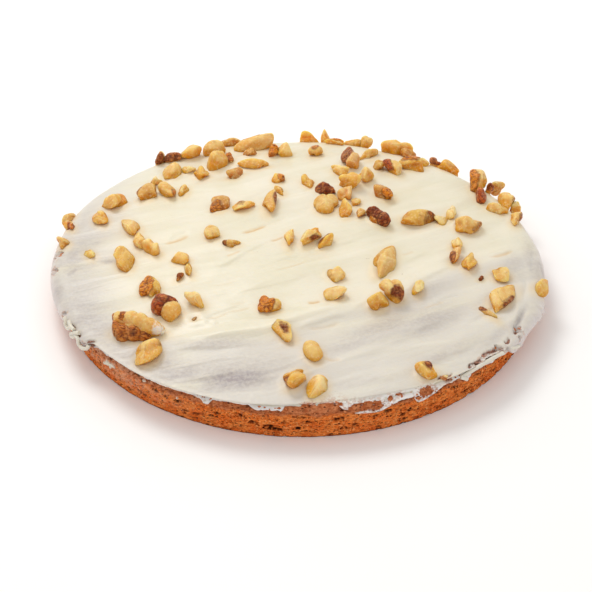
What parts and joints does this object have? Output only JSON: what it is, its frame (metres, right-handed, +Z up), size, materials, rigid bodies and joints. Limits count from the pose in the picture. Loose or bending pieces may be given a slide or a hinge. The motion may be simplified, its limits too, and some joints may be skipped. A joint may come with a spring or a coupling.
{
  "type": "carrot cake",
  "caption": "Low round carrot cake: a bare spiced sponge side, soft white frosting spread by knife over the top, and scattered chopped walnuts.",
  "frame": {"origin": "on the surface the cake stands on, under the middle of the cake", "axes": "+Z up through the frosting; the side where the sponge shows bare faces -Y; +X to its right"},
  "size_m": [0.2486, 0.2407, 0.0348],
  "materials": {
    "sponge": "porous baked crumb",
    "frosting": "soft satin cream",
    "walnut": "dull oily nut"
  },
  "bodies": {
    "root": {"sponge": "sponge", "frosting": "frosting", "walnut_01": "walnut", "walnut_02": "walnut", "walnut_03": "walnut", "walnut_04": "walnut", "walnut_05": "walnut", "walnut_06": "walnut", "walnut_07": "walnut", "walnut_08": "walnut", "walnut_09": "walnut", "walnut_10": "walnut", "walnut_11": "walnut", "walnut_12": "walnut", "walnut_13": "walnut", "walnut_14": "walnut", "walnut_15": "walnut", "walnut_16": "walnut", "walnut_17": "walnut", "walnut_18": "walnut", "walnut_19": "walnut", "walnut_20": "walnut", "walnut_21": "walnut", "walnut_22": "walnut", "walnut_23": "walnut", "walnut_24": "walnut", "walnut_25": "walnut"}
  },
  "joints": []
}
